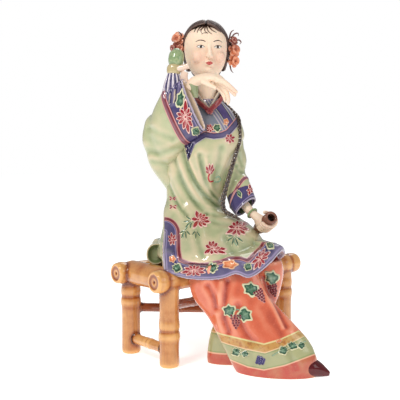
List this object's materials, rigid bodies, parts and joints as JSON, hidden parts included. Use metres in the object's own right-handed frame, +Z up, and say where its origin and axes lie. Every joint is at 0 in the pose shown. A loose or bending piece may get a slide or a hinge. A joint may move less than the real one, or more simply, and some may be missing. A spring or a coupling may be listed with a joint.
{
  "type": "ceramic lady figurine",
  "caption": "Glazed ceramic lady in an embroidered robe, one hand raised to her chin and a short flute in the other, seated on a ceramic bamboo bench",
  "frame": {"origin": "on the floor, at the middle of the whole object's footprint", "axes": "+X along the bench's long side, -Y out of the bench's front, +Z up"},
  "size_m": [0.1726, 0.185, 0.3047],
  "materials": {
    "robe_glaze": "celadon crackle glaze on stoneware, glossy",
    "honey_glaze": "honey-coloured glaze on stoneware, glossy",
    "brown_glaze": "dark brown glaze, satin",
    "skin_clay": "unglazed pale clay, matt",
    "hair_colour": "black-brown painted clay, satin",
    "coral_glaze": "coral glaze on stoneware, glossy",
    "blossom_colour": "orange-red enamel, glossy",
    "band_glaze": "blue-violet glaze with lilac lines, glossy"
  },
  "bodies": {
    "root": {"lady": "robe_glaze", "bamboo_bench": "honey_glaze", "flute": "brown_glaze"}
  },
  "joints": []
}
